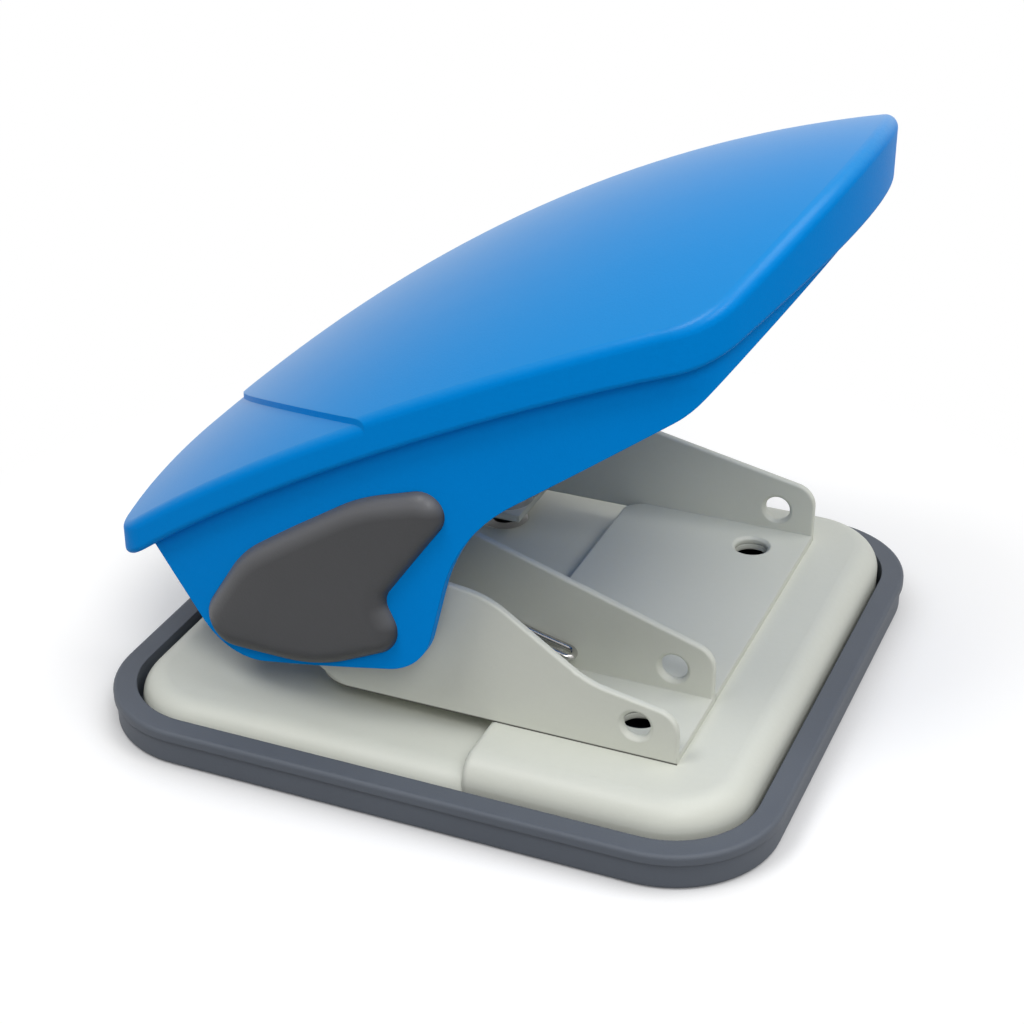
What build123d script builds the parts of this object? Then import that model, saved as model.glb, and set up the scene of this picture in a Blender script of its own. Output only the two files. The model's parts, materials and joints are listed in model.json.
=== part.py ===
from build123d import *
import os
from math import acos, atan2, ceil, cos, degrees, hypot, pi, radians, sin, sqrt

# Two-hole desk punch, in millimetres. X runs towards the handle's free end, Y away from the
# near cheek, Z up. The origin is the middle of the tray's underside, where the punch rests.

# Chip tray: a soft moulded dish with a bead round its top
tray_length = 158.4
tray_width = 149.4
tray_height = 9.0
tray_corner = 25.2
tray_floor = 2.0
rim_width = 5.4
bead_height = 2.4
bead_overhang = 0.6
bead_round = 1.0
tray_foot_round = 1.2

# Base plate: pressed sheet with a low paper table at the back and a raised deck in front
plate_gap = 1.2
plate_sheet = 1.5
table_height = 11.2
deck_height = 15.6
plate_roll = 6.0
step_x = 13.2
step_round = 1.8

# Punch frame: two folded sheet brackets that stand on the deck
bracket_sheet = 1.8
cheek_margin = 11.8
channel_span = 25.7
bracket_gap = 0.3
bracket_end_x = 56.0
channel_back_x = -30.6
channel_corner = 10.0
cheek_toe_x = -22.0
far_web_x = 8.0
web_corner = 5.0
sheet_edge_round = 0.5
ear_corner = 5.5
ear_x = 46.6
ear_z = 23.0
ear_hole_d = 6.3
ear_dimple = 0.7
deck_hole_x = 43.5
deck_hole_d = 8.0
deck_hole_round = 0.7

# Top edges of the three cheeks: height at the ear, then where the edge turns
near_ear_top = 27.2
near_foot = (35.6, 31.0)
near_crest = (12.6, 46.5)
inner_ear_top = 28.7
inner_rise = 0.315
far_ear_top = 29.7
far_rise = 0.203
far_foot_x = -6.0
far_crest_x = -20.0
cheek_bend_round = 20.0
cheek_crest_round = 9.0
cheek_heel_z = 35.0
cheek_heel_round = 7.0
cheek_toe_round = 8.0

# Pivot and drive
pivot_x = -44.0
pivot_z = 45.0
pivot_boss_r = 9.0
shaft_d = 6.0
shaft_fit = 0.05
handle_swing = 24.0
pin_arm = 22.0
hole_pitch = 80.0
rod_d = 4.0
rod_fit = 0.06

# Punch pins, their guides and dies
pin_d = 6.0
pin_fit = 0.06
pin_rise = 0.5
pin_head_d = 10.0
pin_head_height = 12.0
pin_tip_r = 4.0
pin_tip_depth = 1.2
guide_d = 11.0
guide_flange_d = 15.0
guide_flange = 1.6
guide_height = 13.0
die_d = 12.0
die_height = 3.0
press_seat = 0.02
shelf_length = 15.0
shelf_width = 18.4

# Paper stops: studs that hold the sheet's edge this far from the holes' centres
paper_margin = 12.0
stop_d = 5.0
stop_tail_d = 3.0
stop_head_d = 6.0
stop_head = 1.0
far_stop_y = 8.0

# Return spring: one wire, coiled on the shaft, with a hairpin foot in the near channel
wire_d = 1.6
coil_r = 5.0
coil_turns = 6
spring_side_gap = 0.4
spring_seat_gap = 0.3
spring_arm = 28.0
hairpin_gap = 3.4
hairpin_x = 24.5
hairpin_z = 23.2
hairpin_return = 13.0
spring_tab_length = 5.0
spring_tab_back = 8.0

# Handle: a crowned cover over a deep lever body, both seen from above and from the side
back_x = -82.0
back_bow = 6.0
back_overhang = 2.7
mid_overhang = 10.7
tip_x = 76.8
tip_bow = 16.0
tip_overhang = 5.9
back_corner = 10.0
tip_corner = 14.0
crown_margin = 8.0
crown_radius = 142.0
lip_round = 2.6
lip_under_round = 1.2
lip_overhang = 2.8
cover_wall = 3.4
cover_fit = 0.15
panel_raise = 1.4
panel_side_x = -2.5
panel_waist = (-44.0, 38.2)
panel_nose_x = -73.0
panel_nose_round = 10.0
body_wall = 2.6
body_roof = 2.2
rib_wall = 2.3
rib_length = 9.0
rib_foot = 3.4
rib_gap = 0.4
ledge_height = 4.0

# Crown of the cover at its back, middle and tip, as control heights of the ridge, the share of
# the round's fall to each side, and how far the lip's underside lies below the ridge
ridge_z = (39.3, 126.9, 140.4)
crown_share = (0.52, 1.38, 1.26)
lip_depth = (10.2, 9.8, 15.9)
lip_share = (0.52, 1.33, 0.82)

# Lower edge of the lever body: a lobe round the pivot, then an arch up to the free end
lobe_back = (-48.0, 19.4)
lobe_back_slope = 1.271
lobe_back_round = 16.0
lobe_front = (1.4, 30.4)
lobe_front_round = 13.0
arch_foot = (9.8, 65.2)
arch_round = 40.0
arch_slope = 0.7215
arch_bend_x = 57.0
arch_bend_round = 24.0
arch_tip_slope = 1.28

# Side grips: soft covers over the ends of the pivot shaft, as (x, z, corner radius)
grip_depth = 1.0
grip_proud = 1.7
grip_round = 1.4
grip_fit = 0.15
grip_corners = (
    (-53.2, 30.9, 6.4),
    (-41.6, 48.7, 30.0),
    (-12.4, 68.8, 40.0),
    (14.8, 77.7, 5.0),
    (-7.6, 46.2, 4.0),
    (-2.3, 35.7, 6.5),
    (-23.6, 25.3, 40.0),
    (-49.2, 23.6, 6.4),
)

# Small hardware
bush_wall = 1.2
bush_flange = 0.5
bush_flange_d = 13.0
shaft_end_gap = 0.2
clip_d = 12.0
clip_sheet = 0.6
clip_side_gap = 0.1
clip_bite = 0.5
clip_mouth = 4.4
screw_d = 2.6
screw_head_d = 6.0
screw_head = 2.0
screw_boss_d = 8.0
screw_boss = 7.0
screw_skin = 1.7
screw_clearance = 0.2
screw_back = (-40.0, 24.0)
screw_front = (36.0, 30.0)

# Sizes that follow from the ones above
half_span = hole_pitch / 2 + cheek_margin
back_half_width = half_span + back_overhang
mid_half_width = half_span + mid_overhang
tip_half_width = half_span + tip_overhang
cheek_inner_y = half_span - bracket_sheet
channel_far_y = channel_span - half_span
web_top = deck_height + bracket_sheet
cheek_crest = pivot_z + pivot_boss_r
cheek_back_x = pivot_x - pivot_boss_r
half_swing = radians(handle_swing / 2)
rod_x = pivot_x + pin_arm * cos(half_swing)
rod_z = pivot_z + pin_arm * sin(half_swing)
rod_stray = pin_arm * (1 - cos(half_swing))
pin_x = rod_x + rod_stray / 2
pin_y = hole_pitch / 2
pin_tip_z = deck_height + pin_rise
stop_x = pin_x + paper_margin + stop_d / 2
rib_near = pin_head_d / 2 + rib_gap
rib_far = rib_near + rib_wall
plate_length = tray_length - 2 * (rim_width + plate_gap)
plate_width = tray_width - 2 * (rim_width + plate_gap)
plate_corner = tray_corner - rim_width - plate_gap
far_reach = 400.0
touch = 0.01
SIDES = (("near", -1), ("far", 1))


def rounded_face(corners):
    """Closed face in X and Z from corners given as (x, z, radius)."""
    points = [(x, z) for x, z, _ in corners]
    radii = [radius for _, _, radius in corners]
    return make_face(FilletPolyline(*points, radius=radii, close=True))


def slab(face, y_low, y_high):
    """Plate between two Y values, from a face drawn in X and Z."""
    return extrude(Plane.XZ.offset(-y_high) * face, amount=y_high - y_low)


def block(x_range, y_range, z_range):
    """Box between low and high values on each axis."""
    ranges = (x_range, y_range, z_range)
    size = [high - low for low, high in ranges]
    middle = [(high + low) / 2 for low, high in ranges]
    return Pos(*middle) * Box(*size)


def drum_y(x, z, diameter, y_low, y_high):
    """Cylinder along Y."""
    return Pos(x, (y_low + y_high) / 2, z) * Rot(90, 0, 0) * Cylinder(diameter / 2, y_high - y_low)


def drum_z(x, y, diameter, z_low, z_high):
    """Cylinder along Z."""
    return Pos(x, y, (z_low + z_high) / 2) * Cylinder(diameter / 2, z_high - z_low)


def rounded_prism(length, width, corner, z_low, z_high):
    """Upright prism with rounded corners."""
    return Pos(0, 0, z_low) * extrude(RectangleRounded(length, width, corner), amount=z_high - z_low)


def edges_at(shape, axis, value, slack=touch):
    """Edges that lie wholly at one value on an axis."""
    found = []
    for edge in shape.edges():
        box = edge.bounding_box()
        low, high = getattr(box.min, axis), getattr(box.max, axis)
        if abs(low - value) < slack and abs(high - value) < slack:
            found.append(edge)
    return found


# Tray and base plate

def chip_tray():
    band_top = tray_height - bead_height
    band = rounded_prism(
        tray_length - 2 * bead_overhang,
        tray_width - 2 * bead_overhang,
        tray_corner - bead_overhang,
        0,
        band_top,
    )
    band = fillet(edges_at(band, "Z", 0), tray_foot_round)
    bead = rounded_prism(tray_length, tray_width, tray_corner, band_top, tray_height)
    bead = fillet(edges_at(bead, "Z", tray_height), bead_round)
    hollow = rounded_prism(
        tray_length - 2 * rim_width,
        tray_width - 2 * rim_width,
        tray_corner - rim_width,
        tray_floor,
        tray_height,
    )
    return band + bead - hollow


def plate_form(inset):
    """Filled form of the base plate, drawn in by the inset for the space under the sheet."""

    def level(top):
        form = rounded_prism(
            plate_length - 2 * inset,
            plate_width - 2 * inset,
            plate_corner - inset,
            tray_floor,
            top - inset,
        )
        return fillet(edges_at(form, "Z", top - inset), plate_roll - inset)

    riser_x = step_x + inset
    deck = level(deck_height) & block((riser_x, far_reach), (-far_reach, far_reach), (0, far_reach))
    brow = [edge for edge in edges_at(deck, "X", riser_x) if edge.center().Z > deck_height - inset - touch]
    return level(table_height) + fillet(brow, step_round)


def base_plate():
    plate = plate_form(0) - plate_form(plate_sheet)
    for _, side in SIDES:
        plate -= drum_z(pin_x, side * pin_y, die_d + 2 * press_seat, tray_floor, table_height)
        plate -= drum_z(deck_hole_x, side * pin_y, deck_hole_d, tray_floor, deck_height)
    for y in (-pin_y, far_stop_y):
        plate -= drum_z(stop_x, y, stop_tail_d + 2 * press_seat, tray_floor, table_height)
    return plate


def die(side):
    ring = drum_z(pin_x, side * pin_y, die_d, table_height - die_height, table_height)
    return ring - drum_z(pin_x, side * pin_y, pin_d + 2 * pin_fit, 0, far_reach)


# Punch frame

def cheek(top_edge, y_low, y_high):
    """Upright plate of a bracket: its front ear, its own top edge and the boss round the pivot."""
    outline = [(bracket_end_x, deck_height, 0)]
    outline += top_edge
    outline += [
        (cheek_back_x, cheek_crest, pivot_boss_r - touch),
        (cheek_back_x, cheek_heel_z, cheek_heel_round),
        (cheek_toe_x, deck_height, cheek_toe_round),
    ]
    plate = slab(rounded_face(outline), y_low, y_high)
    rims = [
        edge
        for edge in edges_at(plate, "Y", y_low) + edges_at(plate, "Y", y_high)
        if edge.center().Z > web_top + sheet_edge_round
    ]
    plate = fillet(rims, sheet_edge_round)
    plate -= drum_y(pivot_x, pivot_z, shaft_d + 2 * shaft_fit, y_low, y_high)
    plate -= drum_y(ear_x, ear_z, ear_hole_d, y_low, y_high)
    dimple = Cone(ear_hole_d / 2 + ear_dimple, ear_hole_d / 2, ear_dimple)
    return plate - Pos(ear_x, y_low + ear_dimple / 2, ear_z) * Rot(-90, 0, 0) * dimple


def near_top_edge():
    return [
        (bracket_end_x, near_ear_top, ear_corner),
        (*near_foot, cheek_bend_round),
        (*near_crest, cheek_bend_round),
    ]


def inner_top_edge():
    crest_x = bracket_end_x - (cheek_crest - inner_ear_top) / inner_rise
    return [(bracket_end_x, inner_ear_top, ear_corner), (crest_x, cheek_crest, cheek_bend_round)]


def far_top_edge():
    foot_z = far_ear_top + (bracket_end_x - far_foot_x) * far_rise
    return [
        (bracket_end_x, far_ear_top, ear_corner),
        (far_foot_x, foot_z, cheek_crest_round),
        (far_crest_x, cheek_crest, cheek_crest_round),
    ]


def web_cuts(side):
    """Holes through a bracket's floor: the open one in front and the pin guide's seat."""
    front = drum_z(deck_hole_x, side * pin_y, deck_hole_d, 0, web_top)
    mouth = Cone(deck_hole_d / 2, deck_hole_d / 2 + deck_hole_round, deck_hole_round)
    front += Pos(deck_hole_x, side * pin_y, web_top - deck_hole_round / 2) * mouth
    return front + drum_z(pin_x, side * pin_y, guide_d + 2 * press_seat, 0, web_top)


def spring_tab():
    """Lug turned in from the inner cheek, on which the spring's hairpin bears."""
    front = hairpin_x - spring_tab_back + spring_tab_length
    top = spring_foot_z(front) - wire_d / 2 / cos(spring_slope())
    face = channel_far_y - bracket_sheet
    reach = spring_side_gap + wire_d + hairpin_gap
    return block((front - spring_tab_length, front), (face - reach, face), (top - bracket_sheet, top))


def near_bracket():
    web = block((channel_back_x, bracket_end_x), (-half_span, channel_far_y), (deck_height, web_top))
    corners = [edge for edge in edges_at(web, "X", channel_back_x) if edge.length < 2 * bracket_sheet]
    web = fillet(corners, channel_corner)
    bracket = web + cheek(near_top_edge(), -half_span, -cheek_inner_y)
    bracket += cheek(inner_top_edge(), channel_far_y - bracket_sheet, channel_far_y)
    bracket -= web_cuts(-1)
    bracket -= drum_z(stop_x, -pin_y, stop_tail_d + 2 * press_seat, 0, web_top)
    return bracket + spring_tab()


def far_bracket():
    web = block(
        (far_web_x, bracket_end_x),
        (channel_far_y + bracket_gap, cheek_inner_y),
        (deck_height, web_top),
    )
    corner = [
        edge
        for edge in edges_at(web, "X", far_web_x)
        if edge.center().Y > cheek_inner_y - touch and edge.length < 2 * bracket_sheet
    ]
    web = fillet(corner, web_corner)
    shelf = block(
        (pin_x - shelf_length / 2, pin_x + shelf_length / 2),
        (cheek_inner_y - shelf_width, half_span),
        (deck_height, web_top),
    )
    bracket = web + shelf + cheek(far_top_edge(), cheek_inner_y, half_span)
    return bracket - web_cuts(1)


# Pins, guides, stops and shaft

def pin_guide(side):
    y = side * pin_y
    guide = drum_z(pin_x, y, guide_d, deck_height, web_top + guide_height)
    guide += drum_z(pin_x, y, guide_flange_d, web_top, web_top + guide_flange)
    return guide - drum_z(pin_x, y, pin_d + 2 * pin_fit, 0, far_reach)


def punch_pin(side):
    """Pin with a hollow-ground tip and a slotted head that the drive rod runs through."""
    y = side * pin_y
    head_low = rod_z - pin_head_height / 2
    pin = drum_z(pin_x, y, pin_d, pin_tip_z, head_low)
    head = drum_z(pin_x, y, pin_head_d, head_low, head_low + pin_head_height)
    pin += head
    pin -= drum_y(pin_x, pin_tip_z - pin_tip_r + pin_tip_depth, 2 * pin_tip_r, y - pin_d, y + pin_d)
    slot = SlotCenterToCenter(rod_stray, rod_d + 2 * rod_fit)
    return pin - slab(Pos(pin_x, rod_z) * slot, y - pin_head_d, y + pin_head_d)


def drive_rod(side):
    return drum_y(rod_x, rod_z, rod_d, side * pin_y - rib_far, side * pin_y + rib_far)


def stop_stud(y, tail_top):
    """Stud that stands on the paper table, riveted through it and, at the near side, the web."""
    stud = drum_z(stop_x, y, stop_d, table_height, deck_height)
    stud += drum_z(stop_x, y, stop_tail_d, table_height - plate_sheet - stop_head, tail_top)
    stud += drum_z(
        stop_x, y, stop_head_d, table_height - plate_sheet - stop_head, table_height - plate_sheet
    )
    return stud


def paper_stops():
    near = stop_stud(-pin_y, web_top) + drum_z(stop_x, -pin_y, stop_head_d, web_top, web_top + stop_head)
    return Compound([near, stop_stud(far_stop_y, deck_height)])


def clip_place(side):
    """Low and high Y of a shaft clip: one past the inner cheek, one short of the far cheek."""
    if side < 0:
        low = channel_far_y + clip_side_gap
    else:
        low = cheek_inner_y - clip_side_gap - clip_sheet
    return low, low + clip_sheet


def pivot_shaft():
    shaft = drum_y(pivot_x, pivot_z, shaft_d, -far_reach, far_reach)
    shaft &= handle_prism(lip_overhang + grip_depth + shaft_end_gap)
    for _, side in SIDES:
        low, high = clip_place(side)
        groove = drum_y(pivot_x, pivot_z, 2 * shaft_d, low - shaft_fit, high + shaft_fit)
        shaft -= groove - drum_y(pivot_x, pivot_z, shaft_d - 2 * clip_bite, -far_reach, far_reach)
    return shaft


def shaft_clip(side):
    low, high = clip_place(side)
    clip = drum_y(pivot_x, pivot_z, clip_d, low, high)
    clip -= drum_y(pivot_x, pivot_z, shaft_d - 2 * clip_bite + 2 * shaft_fit, low, high)
    mouth = block(
        (pivot_x - clip_mouth / 2, pivot_x + clip_mouth / 2),
        (low, high),
        (pivot_z - clip_d, pivot_z),
    )
    return clip - mouth


# Return spring

def spring_rows():
    """Y of the wire at the coil's outer end, the hairpin's near leg and its far leg."""
    outer = -cheek_inner_y + spring_side_gap + wire_d / 2
    far_leg = channel_far_y - bracket_sheet - spring_side_gap - wire_d / 2
    return outer, far_leg - hairpin_gap, far_leg


def spring_exit():
    """Angle on the coil, from +X towards +Z, where the wire leaves for the hairpin."""
    run_x, run_z = hairpin_x - hairpin_gap / 2 - pivot_x, hairpin_z - pivot_z
    return atan2(run_z, run_x) - acos(coil_r / hypot(run_x, run_z))


def spring_slope():
    return spring_exit() + pi / 2


def spring_foot_z(x):
    """Height of the hairpin leg's centre line."""
    return hairpin_z + (x - hairpin_x + hairpin_gap / 2) * sin(spring_slope()) / cos(spring_slope())


def biarc(start, start_way, end, end_way):
    """Two arcs that leave one point and reach the other along the given directions."""
    gap = end - start
    ways = start_way + end_way
    bend = 2 * (1 - start_way.dot(end_way))
    lean = gap.dot(ways)
    reach = (sqrt(lean * lean + bend * gap.dot(gap)) - lean) / bend
    middle = (start + end + (start_way - end_way) * reach) * 0.5
    middle_way = (gap - ways * reach).normalized()
    return [
        Edge.make_tangent_arc(start, start_way, middle),
        Edge.make_tangent_arc(middle, middle_way, end),
    ]


def spring_path():
    """Centre line of the wire: upper arm, coil, lower leg, hairpin bend and return leg."""
    outer_y, near_leg_y, far_leg_y = spring_rows()
    first = pi / 2 + half_swing
    last = spring_exit() + 2 * pi * (coil_turns + 1)
    steps = ceil((last - first) / (pi / 2))
    climb = (near_leg_y - outer_y) / (last - first)

    def on_coil(step):
        angle = first + (last - first) * step / steps
        at_end = step in (0, steps)
        point = Vector(
            pivot_x + coil_r * cos(angle), outer_y + climb * (angle - first), pivot_z + coil_r * sin(angle)
        )
        way = Vector(-coil_r * sin(angle), 0 if at_end else climb, coil_r * cos(angle))
        return point, way.normalized()

    knots = [on_coil(step) for step in range(steps + 1)]
    arm_start = knots[0][0] - knots[0][1] * spring_arm
    edges = [Edge.make_line(arm_start, knots[0][0])]
    for (start, start_way), (end, end_way) in zip(knots, knots[1:]):
        edges += biarc(start, start_way, end, end_way)
    leg_start, leg_way = knots[-1]
    leg_length = (hairpin_x - hairpin_gap / 2 - leg_start.X) / leg_way.X
    bend_start = leg_start + leg_way * leg_length
    bend_end = Vector(bend_start.X, far_leg_y, bend_start.Z)
    edges.append(Edge.make_line(leg_start, bend_start))
    edges += biarc(bend_start, leg_way, bend_end, leg_way * -1)
    edges.append(Edge.make_line(bend_end, bend_end - leg_way * hairpin_return))
    return Wire(edges), edges[0]


def least_gap(wire, samples=900):
    """Least distance between the wire's own passes, less its thickness."""
    points = [wire.position_at(step / samples) for step in range(samples + 1)]
    apart = ceil(4 * wire_d / (wire.length / samples))
    nearest = min(
        (points[i] - points[j]).length for i in range(samples + 1) for j in range(i + apart, samples + 1)
    )
    return nearest - wire_d


def return_spring():
    path, arm = spring_path()
    print("return spring: least gap to itself", round(least_gap(path), 2), "mm")
    section = Plane(origin=arm.position_at(0), z_dir=arm.tangent_at(0)) * Circle(wire_d / 2)
    return sweep(section, path=path)


# Handle

def handle_plan(inset):
    """Outline of the cover from above, drawn in by the inset: four bowed edges, rounded corners."""
    back = back_x + back_bow
    tip = tip_x - tip_bow
    bows = [
        ThreePointArc((back, back_half_width), (back_x, 0), (back, -back_half_width)),
        ThreePointArc((back, -back_half_width), (0, -mid_half_width), (tip, -tip_half_width)),
        ThreePointArc((tip, -tip_half_width), (tip_x, 0), (tip, tip_half_width)),
        ThreePointArc((tip, tip_half_width), (0, mid_half_width), (back, back_half_width)),
    ]
    face = None
    for bow in bows:
        inward = bow.arc_center - bow.position_at(0.5)
        turn = degrees(atan2(inward.Y, inward.X))
        disk = Pos(bow.arc_center) * Rot(0, 0, turn) * Circle(bow.radius - inset)
        face = disk if face is None else face & disk
    face = fillet(face.vertices().sort_by(Axis.X)[:2], back_corner - inset)
    return fillet(face.vertices().sort_by(Axis.X)[-2:], tip_corner - inset)


def handle_prism(inset):
    """Upright prism on the cover's outline, drawn in by the inset."""
    return extrude(handle_plan(inset), amount=far_reach)


def arc_net(start, end, radius):
    """Control points, and the middle one's weight, of the arc that bows up between two points."""
    run, rise = end[0] - start[0], end[1] - start[1]
    half = hypot(run, rise) / 2
    lift = half * half / sqrt(radius * radius - half * half)
    middle = (
        (start[0] + end[0]) / 2 - lift * rise / (2 * half),
        (start[1] + end[1]) / 2 + lift * run / (2 * half),
    )
    return [start, middle, end], sqrt(1 - (half / radius) ** 2)


def crown_face(drops, shares):
    """Crowned surface: an arc across the handle, carried along the ridge with a changing fall."""
    low, high = back_x - crown_margin, tip_x + crown_margin
    run = (low, (low + high) / 2, high)
    reach = mid_half_width + crown_margin
    edge_z = sqrt(crown_radius**2 - reach**2) - crown_radius
    across, across_weight = arc_net((-reach, edge_z), (reach, edge_z), crown_radius)
    points = [
        [(x, y, z - drop + share * fall) for y, fall in across]
        for x, z, drop, share in zip(run, ridge_z, drops, shares)
    ]
    return Face.make_bezier_surface(points, [[1, across_weight, 1]] * len(run))


def dome(drop):
    """Everything under the crowned top, lowered by the drop."""
    return extrude(crown_face((drop,) * len(ridge_z), crown_share), amount=far_reach, dir=(0, 0, -1))


def lip_dome():
    """Everything under the lip's lower edge."""
    return extrude(crown_face(lip_depth, lip_share), amount=far_reach, dir=(0, 0, -1))


def crown_height(x, y, drop):
    """Height of the lowered crown over a point."""
    face = crown_face((drop,) * len(ridge_z), crown_share)
    return face.find_intersection_points(Axis((x, y, 0), (0, 0, 1)))[0][0].Z


def screw_spots():
    return [(x, side * y) for x, y in (screw_back, screw_front) for _, side in SIDES]


def panel_prism():
    """Raised panel from above: a nose at the back that widens to the full handle."""
    side_y = mid_half_width + lip_overhang
    nose = (panel_nose_x, 0)
    near = ThreePointArc((panel_side_x, -side_y), (panel_waist[0], -panel_waist[1]), nose)
    far = ThreePointArc(nose, panel_waist, (panel_side_x, side_y))
    front_x = tip_x + lip_overhang
    front = Polyline((panel_side_x, side_y), (front_x, side_y), (front_x, -side_y), (panel_side_x, -side_y))
    face = make_face([near, far, front])
    tip = face.vertices().sort_by(Axis.X)[:1]
    return extrude(fillet(tip, panel_nose_round), amount=far_reach)


def cover_plate(drop):
    """Solid under the crown with its top edge rounded over."""
    form = handle_prism(0) & dome(drop)
    crown = form.faces().sort_by(Axis.Z)[-1]
    return fillet(crown.edges(), lip_round)


def handle_cover():
    cover = cover_plate(panel_raise) + (cover_plate(0) & panel_prism())
    cover -= lip_dome()
    under = min(cover.faces(), key=lambda face: face.normal_at(face.center()).Z)
    cover = fillet(under.outer_wire().edges(), lip_under_round)
    cover -= handle_prism(lip_overhang - cover_fit) & dome(cover_wall)
    for x, y in screw_spots():
        tip_z = crown_height(x, y, 0) - screw_skin
        cover -= drum_z(x, y, screw_d + 2 * press_seat, 0, tip_z)
    return cover


def body_profile():
    """Side view of the lever body, open above: the cover's underside ends it there."""
    back = back_x - crown_margin
    front = tip_x + crown_margin
    bend_z = arch_foot[1] + (arch_bend_x - arch_foot[0]) * arch_slope
    return rounded_face([
        (back, lobe_back[1] + (lobe_back[0] - back) * lobe_back_slope, 0),
        (*lobe_back, lobe_back_round),
        (*lobe_front, lobe_front_round),
        (*arch_foot, arch_round),
        (arch_bend_x, bend_z, arch_bend_round),
        (front, bend_z + (front - arch_bend_x) * arch_tip_slope, 0),
        (front, far_reach, 0),
        (back, far_reach, 0),
    ])


def rod_ribs(side):
    """Pair of ribs that carry a drive rod, one each side of the pin's head."""
    foot_z = rod_z - rib_foot
    half = rib_length / 2
    outline = rounded_face([
        (rod_x - half, foot_z, rib_foot),
        (rod_x + half, foot_z, rib_foot),
        (rod_x + half, far_reach, 0),
        (rod_x - half, far_reach, 0),
    ])
    ribs = []
    for low in (-rib_far, rib_near):
        ribs.append(slab(outline, side * pin_y + low, side * pin_y + low + rib_wall))
    return ribs


def spring_ledge():
    """Ledge on the near rib, just above the end of the spring's upper arm."""
    outer_y = spring_rows()[0]
    top_z = pivot_z + coil_r * cos(half_swing) + spring_arm * sin(half_swing)
    low_z = top_z + wire_d / 2 + spring_seat_gap
    return block(
        (rod_x - rib_length / 2, rod_x + rib_length / 2),
        (outer_y - wire_d / 2, -pin_y - rib_near),
        (low_z, low_z + ledge_height),
    )


def body_hollow():
    """Space inside the lever body, with its ribs, ledge and screw bosses left standing."""
    roof = cover_wall + cover_fit + body_roof
    hollow = handle_prism(lip_overhang + body_wall) & dome(roof)
    for _, side in SIDES:
        hollow -= rod_ribs(side)
    hollow -= spring_ledge()
    for x, y in screw_spots():
        hollow -= drum_z(x, y, screw_boss_d, crown_height(x, y, roof) - screw_boss, far_reach)
    return hollow


def handle_body():
    body = handle_prism(lip_overhang) & dome(cover_wall + cover_fit)
    body &= slab(body_profile(), -far_reach / 2, far_reach / 2)
    for x, y in screw_spots():
        body -= drum_z(x, y, screw_d + 2 * screw_clearance, 0, far_reach)
    floor = handle_prism(lip_overhang + grip_depth)
    pocket = offset(rounded_face(grip_corners), amount=grip_fit)
    for _, side in SIDES:
        low, high = sorted((side * half_span, side * far_reach / 2))
        body -= slab(pocket, low, high) - floor
        bush_seat_d = shaft_d + 2 * (shaft_fit + bush_wall + press_seat)
        body -= floor & drum_y(pivot_x, pivot_z, bush_seat_d, low, high)
        body -= drum_y(rod_x, rod_z, rod_d + 2 * press_seat, side * pin_y - rib_far, side * pin_y + rib_far)
    return body - body_hollow()


def side_grip(side):
    low, high = sorted((side * half_span, side * far_reach / 2))
    grip = slab(rounded_face(grip_corners), low, high)
    grip &= handle_prism(lip_overhang - grip_proud) - handle_prism(lip_overhang + grip_depth)
    face = grip.faces().sort_by(Axis.Y)[0 if side < 0 else -1]
    return fillet(face.edges(), grip_round)


def pivot_bush(side):
    """Flanged bearing in the lever body's wall, round the end of the shaft."""
    low, high = sorted((side * half_span, side * far_reach / 2))
    wall = lip_overhang + body_wall
    sleeve = drum_y(pivot_x, pivot_z, shaft_d + 2 * (shaft_fit + bush_wall), low, high)
    sleeve &= handle_prism(lip_overhang + grip_depth + press_seat) - handle_prism(wall)
    flange = drum_y(pivot_x, pivot_z, bush_flange_d, low, high)
    flange &= handle_prism(wall) - handle_prism(wall + bush_flange)
    return sleeve + flange - drum_y(pivot_x, pivot_z, shaft_d + 2 * shaft_fit, low, high)


def cover_screws():
    screws = []
    for x, y in screw_spots():
        seat_z = crown_height(x, y, cover_wall + cover_fit + body_roof) - screw_boss
        tip_z = crown_height(x, y, 0) - screw_skin - screw_clearance
        screw = drum_z(x, y, screw_d, seat_z, tip_z)
        screws.append(screw + drum_z(x, y, screw_head_d, seat_z - screw_head, seat_z))
    return Compound(screws)


parts = {
    "chip_tray": chip_tray(),
    "base_plate": base_plate(),
    "near_bracket": near_bracket(),
    "far_bracket": far_bracket(),
    "paper_stops": paper_stops(),
    "pivot_shaft": pivot_shaft(),
    "return_spring": return_spring(),
    "handle_cover": handle_cover(),
    "handle_body": handle_body(),
    "cover_screws": cover_screws(),
}
for name, side in SIDES:
    parts[f"{name}_die"] = die(side)
    parts[f"{name}_pin_guide"] = pin_guide(side)
    parts[f"{name}_punch_pin"] = punch_pin(side)
    parts[f"{name}_drive_rod"] = drive_rod(side)
    parts[f"{name}_shaft_clip"] = shaft_clip(side)
    parts[f"{name}_pivot_bush"] = pivot_bush(side)
    parts[f"{name}_side_grip"] = side_grip(side)

os.makedirs("parts", exist_ok=True)
for name, shape in parts.items():
    export_step(shape, f"parts/{name}.step")
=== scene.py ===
import json
from math import cos, pi, radians, sin

import bmesh
import bpy
import numpy as np
from mathutils import Matrix, Vector
from mathutils.bvhtree import BVHTree

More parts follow.
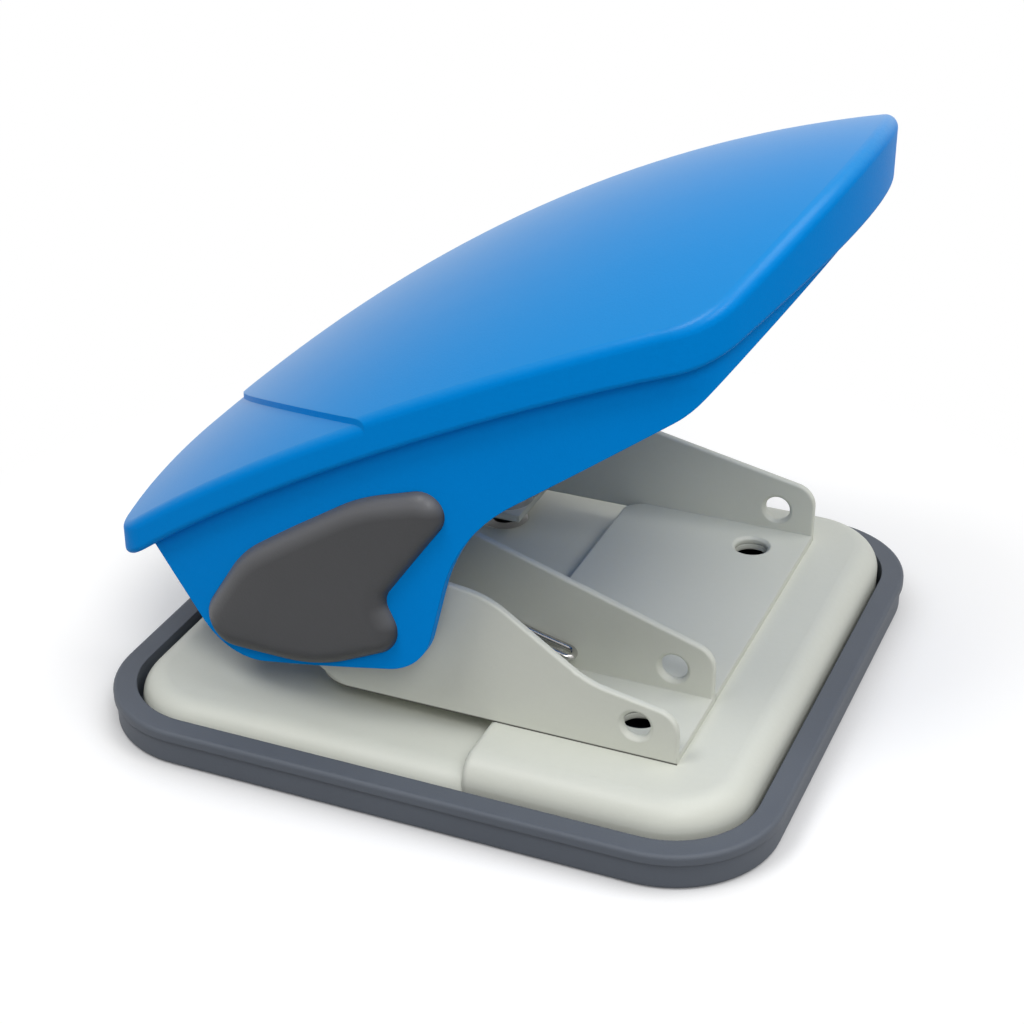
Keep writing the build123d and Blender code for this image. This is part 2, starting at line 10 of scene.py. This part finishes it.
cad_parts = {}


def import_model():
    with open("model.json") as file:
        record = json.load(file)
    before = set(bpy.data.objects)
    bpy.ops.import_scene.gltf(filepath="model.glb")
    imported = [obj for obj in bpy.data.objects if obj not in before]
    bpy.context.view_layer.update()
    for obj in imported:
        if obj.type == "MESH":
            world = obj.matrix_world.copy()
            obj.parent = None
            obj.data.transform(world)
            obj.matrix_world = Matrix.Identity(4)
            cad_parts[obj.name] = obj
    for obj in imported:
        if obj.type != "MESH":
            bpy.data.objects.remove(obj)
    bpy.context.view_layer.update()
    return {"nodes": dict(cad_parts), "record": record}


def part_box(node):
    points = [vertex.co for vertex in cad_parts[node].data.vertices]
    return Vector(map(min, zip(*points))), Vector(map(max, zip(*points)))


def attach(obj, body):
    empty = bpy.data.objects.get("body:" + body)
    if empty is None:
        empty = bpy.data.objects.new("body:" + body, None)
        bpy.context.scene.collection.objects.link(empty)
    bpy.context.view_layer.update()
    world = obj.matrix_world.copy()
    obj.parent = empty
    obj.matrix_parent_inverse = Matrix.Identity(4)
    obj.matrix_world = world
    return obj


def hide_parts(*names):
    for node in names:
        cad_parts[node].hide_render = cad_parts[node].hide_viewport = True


# Looks of a two-hole desk punch, in metres, in the frame of its solids

MM = 0.001

# Camera: the photograph's own place, aim and focal length
camera_azimuth = radians(22.97)
camera_elevation = radians(28.92)
camera_roll = radians(-0.16)
camera_place = Vector((0.16825, -0.40466, 0.28002))
focal_length = 75.7
sensor_width = 36.0

# Side grips: pads that swell from their rims, on the outlines of the solid grips
grip_stand = 1.7 * MM
grip_seat = 0.7 * MM
grip_lap = 0.5 * MM
grip_swell = 3.1 * MM
grip_edge = 5.0 * MM
grip_spokes = 240
grip_rings = 28
grip_face_tilt = 0.97
grip_wall_tilt = 0.2
grip_curve_order = 3

# Light: three soft boxes as (name, place, side in metres, watts), and a pale room
room_strength = 0.24
light_aim = (0.0, 0.0, 0.05)
soft_boxes = (
    ("overhead_box", (1.00, 0.20, 2.00), 1.60, 23.0),
    ("right_box", (0.85, -1.25, 1.55), 0.80, 14.0),
    ("left_box", (-0.70, -0.90, 2.00), 0.80, 16.2),
)

# Colours as linear light
handle_blue = (0.0, 0.250, 0.765)
handle_blue_pale = (0.0, 0.272, 0.800)
# painted shade: the handle's faces that look up are given this darker, less saturated blue
handle_blue_painted_top_shade = (0.002, 0.236, 0.590)
grip_charcoal = (0.028, 0.029, 0.032)
grip_charcoal_pale = (0.044, 0.045, 0.049)
# painted highlight: the grips' upward-facing upper edges are given this paler charcoal
grip_charcoal_painted_highlight = (0.105, 0.107, 0.114)
frame_grey = (0.605, 0.622, 0.557)
frame_grey_pale = (0.688, 0.702, 0.636)
# painted shadow: a dark line along the near cheek's outer foot
painted_foot_shadow = (0.10, 0.10, 0.09)
tray_slate = (0.079, 0.091, 0.113)
tray_slate_pale = (0.112, 0.127, 0.152)
nickel = (0.66, 0.65, 0.63)
nickel_dark = (0.42, 0.41, 0.40)
steel = (0.55, 0.55, 0.55)
steel_dark = (0.34, 0.34, 0.35)
nylon = (0.72, 0.70, 0.64)
nylon_pale = (0.80, 0.78, 0.73)
plain_white = (1.0, 1.0, 1.0)

# Painted shade and gloss on faces that look up, a painted highlight on the grips' upper edges, and a
# painted shadow line along an outer foot: where they start and where they are full, by how far a face
# looks up or outwards, or how high it stands over the foot
top_gloss_and_shade_tilt = (0.25, 0.85)
painted_top_shade_share = 0.7
worn_gloss = 0.58
painted_highlight_tilt = (0.06, 0.45)
outer_tilt = (0.5, 0.9)
foot_line = 0.5 * MM
foot_fade = (0.5, 1.0)

# Floor: its colours, its own light, a contact shadow painted close to the object, and the distances
# over which it turns white
floor_half = 4.0
floor_white = (0.92, 0.92, 0.92)
floor_bounce = (0.40, 0.40, 0.40)
floor_glow = 0.19
floor_fade = (0.10, 0.17)
# painted contact shadow on the floor close to the object
floor_painted_contact_shadow = (0.50, 0.50, 0.51)
contact_shadow_reach = 0.022
contact_shadow_fade = (0.3, 0.9)


class Value:
    """An output of a finish's nodes that takes part in plain arithmetic."""

    def __init__(self, finish, socket):
        self.finish = finish
        self.socket = socket

    def maths(self, operation, first, second):
        return self.finish.node("ShaderNodeMath", {"operation": operation}, {0: first, 1: second})

    def __add__(self, other):
        return self.maths("ADD", self, other)

    def __radd__(self, other):
        return self.maths("ADD", other, self)

    def __sub__(self, other):
        return self.maths("SUBTRACT", self, other)

    def __rsub__(self, other):
        return self.maths("SUBTRACT", other, self)

    def __mul__(self, other):
        return self.maths("MULTIPLY", self, other)

    def __rmul__(self, other):
        return self.maths("MULTIPLY", other, self)


class Finish:
    """A material whose nodes are added one at a time."""

    def __init__(self, name):
        self.material = bpy.data.materials.new(name)
        self.material.use_nodes = True
        self.tree = self.material.node_tree
        self.tree.nodes.clear()
        self.place = self.node("ShaderNodeTexCoord", output="Object")

    def node(self, kind, settings=None, sockets=None, output=0):
        made = self.tree.nodes.new(kind)
        for key, value in (settings or {}).items():
            if key == "stops":
                self.set_stops(made.color_ramp, value)
            else:
                setattr(made, key, value)
        for key, value in (sockets or {}).items():
            if isinstance(value, Value):
                self.tree.links.new(value.socket, made.inputs[key])
            else:
                made.inputs[key].default_value = value
        return Value(self, made.outputs[output]) if made.outputs else made

    def set_stops(self, ramp, stops):
        while len(ramp.elements) < len(stops):
            ramp.elements.new(1.0)
        for element, (position, level) in zip(ramp.elements, stops):
            element.position = position
            element.color = (level, level, level, 1.0)

    def facing(self, axis):
        """How far a face looks along an axis, from minus one to one."""
        normal = self.node("ShaderNodeTexCoord", output="Normal")
        return self.node("ShaderNodeSeparateXYZ", {}, {0: normal}, output=axis)

    def noise(self, size, detail=2.0, roughness=0.5, stretch=(1.0, 1.0, 1.0)):
        """Soft random value whose features are about the given size in metres."""
        place = self.node("ShaderNodeMapping", {}, {"Vector": self.place, "Scale": stretch})
        sockets = {"Vector": place, "Scale": 1.0 / size, "Detail": detail, "Roughness": roughness}
        return self.node("ShaderNodeTexNoise", {}, sockets)

    def ramp(self, value, low, high):
        """Nought up to the low value and one from the high value on."""
        return self.node("ShaderNodeValToRGB", {"stops": [(low, 0.0), (high, 1.0)]}, {"Fac": value})

    def blend(self, share, first, second):
        """The first colour where the share is nought, and the second where it is one."""
        sockets = {0: share, 6: with_alpha(first), 7: with_alpha(second)}
        return self.node("ShaderNodeMix", {"data_type": "RGBA"}, sockets, output=2)

    def bump(self, height, depth, base=None):
        sockets = {"Height": height, "Distance": depth, "Strength": 1.0}
        if base is not None:
            sockets["Normal"] = base
        return self.node("ShaderNodeBump", {}, sockets)

    def soft_edges(self, radius):
        return self.node("ShaderNodeBevel", {"samples": 4}, {"Radius": radius})

    def surface(self, **sockets):
        named = {key.replace("_", " "): value for key, value in sockets.items()}
        shader = self.node("ShaderNodeBsdfPrincipled", {}, named)
        self.node("ShaderNodeOutputMaterial", {}, {"Surface": shader})
        return self.material


def with_alpha(colour):
    return colour if isinstance(colour, Value) else (*colour, 1.0)


# Finishes

def satin_plastic():
    """Blue moulded plastic with a fine spark-eroded grain; faces that look up get a gloss coat and a
    darker, less saturated blue painted on as shade.
    """
    finish = Finish("satin_blue_plastic")
    grain = finish.noise(size=0.42 * MM, detail=3.0, roughness=0.6)
    flow = finish.noise(size=38 * MM, detail=2.0)
    speck = finish.noise(size=0.9 * MM, detail=2.0)
    share = 0.4 * flow + 0.6 * speck
    moulded = finish.blend(share, handle_blue, handle_blue_pale)
    # painted shade: faces that look up get a darker, less saturated blue, and a gloss coat
    top_gloss_and_shade = finish.ramp(finish.facing("Z"), *top_gloss_and_shade_tilt)
    normal = finish.bump(grain, depth=0.045 * MM, base=finish.soft_edges(radius=0.35 * MM))
    return finish.surface(
        Base_Color=finish.blend(painted_top_shade_share * top_gloss_and_shade, moulded, handle_blue_painted_top_shade),
        Roughness=0.34 + 0.16 * grain,
        Specular_IOR_Level=0.02,
        Coat_Weight=worn_gloss * top_gloss_and_shade,
        Coat_Roughness=0.32,
        Normal=normal,
    )


def soft_grip():
    """Charcoal soft-touch moulding with a matt grain, and a paler band painted along its upward-facing
    upper edge as a highlight.
    """
    finish = Finish("charcoal_grip")
    grain = finish.noise(size=0.55 * MM, detail=4.0, roughness=0.65)
    cloud = finish.noise(size=14 * MM, detail=3.0)
    moulded = finish.blend(0.5 * cloud + 0.5 * grain, grip_charcoal, grip_charcoal_pale)
    # painted highlight: faces that look up, along the upper edge, get a paler charcoal
    painted_highlight = finish.ramp(finish.facing("Z"), *painted_highlight_tilt)
    normal = finish.bump(grain, depth=0.05 * MM, base=finish.soft_edges(radius=0.3 * MM))
    return finish.surface(
        Base_Color=finish.blend(painted_highlight, moulded, grip_charcoal_painted_highlight),
        Roughness=0.34 + 0.16 * grain,
        Specular_IOR_Level=0.5,
        Normal=normal,
    )


def powder_paint(name="grey_powder_paint", foot=None):
    """Pale grey-green powder coat: orange peel over fine speckle, and a dark line painted along an
    outer foot as its contact shadow.
    """
    finish = Finish(name)
    peel = finish.noise(size=1.6 * MM, detail=2.0)
    speck = finish.noise(size=0.5 * MM, detail=3.0, roughness=0.6)
    cloud = finish.noise(size=30 * MM, detail=3.0)
    share = 0.55 * cloud + 0.25 * speck + 0.2 * peel
    colour = finish.blend(share, frame_grey, frame_grey_pale)
    if foot is not None:
        # painted shadow: the lowest part of an outward face, along its foot, is given a dark line
        height = finish.node("ShaderNodeSeparateXYZ", {}, {0: finish.place}, output="Z")
        above_foot_shadow = finish.ramp((height - foot) * (1.0 / foot_line), *foot_fade)
        outer = finish.ramp(-1.0 * finish.facing("Y"), *outer_tilt)
        colour = finish.blend(outer * (1.0 - above_foot_shadow), colour, painted_foot_shadow)
    relief = 0.8 * peel + 0.2 * speck
    normal = finish.bump(relief, depth=0.03 * MM, base=finish.soft_edges(radius=0.7 * MM))
    return finish.surface(
        Base_Color=colour,
        Roughness=0.34 + 0.18 * speck,
        Specular_IOR_Level=0.35,
        Normal=normal,
    )


def slate_rubber():
    """Slate soft plastic of the chip tray, with a dry matt skin."""
    finish = Finish("slate_tray_rubber")
    grain = finish.noise(size=0.6 * MM, detail=4.0, roughness=0.65)
    cloud = finish.noise(size=22 * MM, detail=3.0)
    normal = finish.bump(grain, depth=0.04 * MM, base=finish.soft_edges(radius=0.35 * MM))
    return finish.surface(
        Base_Color=finish.blend(0.6 * cloud + 0.4 * grain, tray_slate, tray_slate_pale),
        Roughness=0.46 + 0.18 * grain,
        Specular_IOR_Level=0.35,
        Normal=normal,
    )


def nickel_wire():
    """Bright nickel on drawn spring wire, with fine drawing marks."""
    finish = Finish("nickel_spring_wire")
    marks = finish.noise(size=0.3 * MM, detail=3.0, stretch=(0.15, 1.0, 1.0))
    return finish.surface(
        Base_Color=finish.blend(marks, nickel_dark, nickel),
        Metallic=1.0,
        Roughness=0.14 + 0.16 * marks,
        Normal=finish.bump(marks, depth=0.006 * MM),
    )


def turned_steel():
    """Plain turned and ground steel of the pins, shaft, dies and screws."""
    finish = Finish("turned_steel")
    rings = finish.noise(size=0.25 * MM, detail=3.0, stretch=(0.2, 0.2, 1.0))
    stain = finish.noise(size=6 * MM, detail=3.0)
    return finish.surface(
        Base_Color=finish.blend(0.5 * rings + 0.5 * stain, steel_dark, steel),
        Metallic=1.0,
        Roughness=0.24 + 0.22 * rings,
        Normal=finish.bump(rings, depth=0.008 * MM, base=finish.soft_edges(radius=0.15 * MM)),
    )


def white_nylon():
    """Natural nylon of the pivot bushes."""
    finish = Finish("white_nylon")
    cloud = finish.noise(size=3 * MM, detail=3.0)
    return finish.surface(
        Base_Color=finish.blend(cloud, nylon, nylon_pale),
        Roughness=0.40 + 0.15 * cloud,
        Normal=finish.bump(cloud, depth=0.01 * MM),
    )


FINISH_OF_SLOT = {
    "handle_plastic": satin_plastic,
    "grip_plastic": soft_grip,
    "frame_paint": powder_paint,
    "tray_rubber": slate_rubber,
    "spring_wire": nickel_wire,
    "machined_steel": turned_steel,
    "bush_plastic": white_nylon,
}


def dress_nodes(frame):
    """Gives every solid the finish of its material slot."""
    finishes = {slot: make() for slot, make in FINISH_OF_SLOT.items()}
    for subpart in frame["record"]["subparts"]:
        mesh = frame["nodes"][subpart["node"]].data
        mesh.materials.clear()
        mesh.materials.append(finishes[subpart["material_slot"]])
    # The near bracket gets its own paint, with a shadow line painted along its foot.
    bracket_paint = powder_paint("bracket_powder_paint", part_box("near_bracket")[0].z)
    frame["nodes"]["near_bracket"].data.materials[0] = bracket_paint
    return finishes


# Side grips

def face_curve(mesh, side):
    """Outer face of a grip seen from above, as a polynomial in x, and the face's middle."""
    outer = [polygon for polygon in mesh.polygons if polygon.normal.y * side > grip_face_tilt]
    points = np.array([mesh.vertices[i].co for polygon in outer for i in polygon.vertices])
    curve = np.polynomial.Polynomial.fit(points[:, 0], side * points[:, 1], grip_curve_order)
    return curve, (points.min(axis=0) + points.max(axis=0)) / 2


def grip_rim(mesh, side, curve, middle):
    """Outline of a grip round its middle, one point for each spoke, lapped over its pocket's edge."""
    flat = [(v.co.x, side * v.co.y - curve(v.co.x), v.co.z) for v in mesh.vertices]
    sides = [polygon for polygon in mesh.polygons if abs(polygon.normal.y) < grip_wall_tilt]
    walls = [tuple(polygon.vertices) for polygon in sides]
    tree = BVHTree.FromPolygons(flat, walls)
    hub = Vector((middle[0], -grip_stand - grip_seat / 2, middle[2]))
    rim = []
    for spoke in range(grip_spokes):
        angle = 2 * pi * spoke / grip_spokes
        spread = Vector((cos(angle), 0, sin(angle)))
        reach = tree.ray_cast(hub, spread)[3] + grip_lap
        rim.append((reach * spread.x, reach * spread.z))
    return np.array(rim)


def rim_distance(points, rim):
    """Distance of each point from the closed line through the rim's points."""
    run = np.roll(rim, -1, axis=0) - rim
    offset = points[:, None, :] - rim[None, :, :]
    share = np.clip((offset * run).sum(axis=2) / (run * run).sum(axis=1), 0, 1)
    return np.linalg.norm(offset - share[..., None] * run, axis=2).min(axis=1)


def grip_faces():
    """A fan in the middle, rings of quads out to the rim, and one face that closes the back."""
    starts = [1 + ring * grip_spokes for ring in range(grip_rings)]
    rings = [list(range(start, start + grip_spokes)) for start in starts]
    following = [ring[1:] + ring[:1] for ring in rings]
    faces = [(0, a, b) for a, b in zip(rings[0], following[0])]
    for inner, inner_next, outer, outer_next in zip(rings, following, rings[1:], following[1:]):
        faces += zip(inner, outer, outer_next, inner_next)
    return faces + [tuple(reversed(rings[-1]))]


def grip_pad(name, solid, side, finish):
    """Soft pad in its pocket on one side of the handle, domed towards its rim."""
    curve, middle = face_curve(solid, side)
    rim = grip_rim(solid, side, curve, middle)
    shares = np.sin(np.linspace(0, pi / 2, grip_rings + 1)[1:])
    plan = np.concatenate([np.zeros((1, 2))] + [share * rim for share in shares])
    inset = np.clip(rim_distance(plan, rim) / grip_edge, 0, 1)
    rise = (grip_seat + grip_swell) * np.sqrt(1 - (1 - inset) ** 2) - grip_seat
    x = middle[0] + plan[:, 0]
    y = side * (curve(x) - grip_stand + rise)
    z = middle[2] + plan[:, 1]
    mesh = bpy.data.meshes.new(name)
    mesh.from_pydata(np.stack([x, y, z], axis=1).tolist(), [], grip_faces())
    shell = bmesh.new()
    shell.from_mesh(mesh)
    bmesh.ops.recalc_face_normals(shell, faces=shell.faces)
    shell.to_mesh(mesh)
    shell.free()
    mesh.shade_smooth()
    mesh.materials.append(finish)
    pad = bpy.data.objects.new(name, mesh)
    bpy.context.collection.objects.link(pad)
    return pad


def side_grips(frame, finish):
    for name, side in (("near", -1), ("far", 1)):
        node = f"{name}_side_grip"
        pad = grip_pad(f"{name}_grip_pad", frame["nodes"][node].data, side, finish)
        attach(pad, "handle")
        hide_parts(node)


# Studio

def seen_directly(tree):
    """One for what the camera sees, straight or in a reflection, and nought for light that bounces."""
    path = tree.nodes.new("ShaderNodeLightPath")
    seen = path.outputs["Is Camera Ray"]
    for ray in ("Is Glossy Ray", "Is Transmission Ray"):
        either = tree.nodes.new("ShaderNodeMath")
        either.operation = "MAXIMUM"
        tree.links.new(seen, either.inputs[0])
        tree.links.new(path.outputs[ray], either.inputs[1])
        seen = either.outputs[0]
    return seen


def floor():
    """Plain white floor with the lamps' shadow round the object and a contact shadow painted close to
    it, seen as pure white further off.
    """
    half = floor_half
    corners = [(-half, -half, 0), (half, -half, 0), (half, half, 0), (-half, half, 0)]
    mesh = bpy.data.meshes.new("floor")
    mesh.from_pydata(corners, [], [(0, 1, 2, 3)])
    finish = Finish("studio_floor")
    # painted contact shadow: the floor is darkened where ambient occlusion finds the object close by
    nearness = finish.node("ShaderNodeAmbientOcclusion", {}, {"Distance": contact_shadow_reach}, output="AO")
    shaded = finish.blend(finish.ramp(nearness, *contact_shadow_fade), floor_painted_contact_shadow, floor_white)
    seen = finish.node("ShaderNodeBsdfDiffuse", {}, {"Color": shaded})
    lit = finish.node("ShaderNodeBsdfDiffuse", {}, {"Color": with_alpha(floor_bounce)})
    glow = finish.node("ShaderNodeEmission", {}, {"Color": shaded, "Strength": floor_glow})
    bright = finish.node("ShaderNodeAddShader", {}, {0: seen, 1: glow})
    white = finish.node("ShaderNodeEmission", {}, {"Strength": 1.0})
    length = {"operation": "LENGTH"}
    distance = finish.node("ShaderNodeVectorMath", length, {0: finish.place}, output="Value")
    far_off = finish.ramp(distance, *floor_fade)
    backdrop = finish.node("ShaderNodeMixShader", {}, {0: far_off, 1: bright, 2: white})
    direct = Value(finish, seen_directly(finish.tree))
    paint = finish.node("ShaderNodeMixShader", {}, {0: direct, 1: lit, 2: backdrop})
    finish.node("ShaderNodeOutputMaterial", {}, {"Surface": paint})
    mesh.materials.append(finish.material)
    plane = bpy.data.objects.new("floor", mesh)
    bpy.context.collection.objects.link(plane)


def room():
    """Even pale surroundings, white to the camera and in reflections."""
    world = bpy.data.worlds.new("studio_room")
    bpy.context.scene.world = world
    world.use_nodes = True
    nodes, links = world.node_tree.nodes, world.node_tree.links
    nodes.clear()
    lit = nodes.new("ShaderNodeBackground")
    lit.inputs["Color"].default_value = with_alpha(plain_white)
    lit.inputs["Strength"].default_value = room_strength
    seen = nodes.new("ShaderNodeBackground")
    seen.inputs["Color"].default_value = with_alpha(plain_white)
    seen.inputs["Strength"].default_value = 1.0
    mix = nodes.new("ShaderNodeMixShader")
    out = nodes.new("ShaderNodeOutputWorld")
    links.new(seen_directly(world.node_tree), mix.inputs["Fac"])
    links.new(lit.outputs[0], mix.inputs[1])
    links.new(seen.outputs[0], mix.inputs[2])
    links.new(mix.outputs[0], out.inputs["Surface"])


def soft_box(name, place, size, power):
    """Square light that faces the object."""
    lamp = bpy.data.lights.new(name, "AREA")
    lamp.shape = "SQUARE"
    lamp.size = size
    lamp.energy = power
    light = bpy.data.objects.new(name, lamp)
    light.location = place
    light.rotation_euler = (Vector(light_aim) - Vector(place)).to_track_quat("-Z", "Y").to_euler()
    bpy.context.collection.objects.link(light)


def camera():
    back = Vector((
        sin(camera_azimuth) * cos(camera_elevation),
        -cos(camera_azimuth) * cos(camera_elevation),
        sin(camera_elevation),
    ))
    right = Vector((cos(camera_azimuth), sin(camera_azimuth), 0.0))
    up = back.cross(right)
    turn = Matrix((right, up, back)).transposed().to_4x4() @ Matrix.Rotation(camera_roll, 4, "Z")
    lens = bpy.data.cameras.new("photo_camera")
    lens.lens = focal_length
    lens.sensor_width = sensor_width
    eye = bpy.data.objects.new("photo_camera", lens)
    eye.matrix_world = Matrix.Translation(camera_place) @ turn
    bpy.context.collection.objects.link(eye)
    bpy.context.scene.camera = eye


def main():
    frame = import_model()
    finishes = dress_nodes(frame)
    side_grips(frame, finishes["grip_plastic"])
    floor()
    room()
    for name, place, size, power in soft_boxes:
        soft_box(name, place, size, power)
    camera()
    bpy.context.scene.view_settings.view_transform = "Standard"


main()
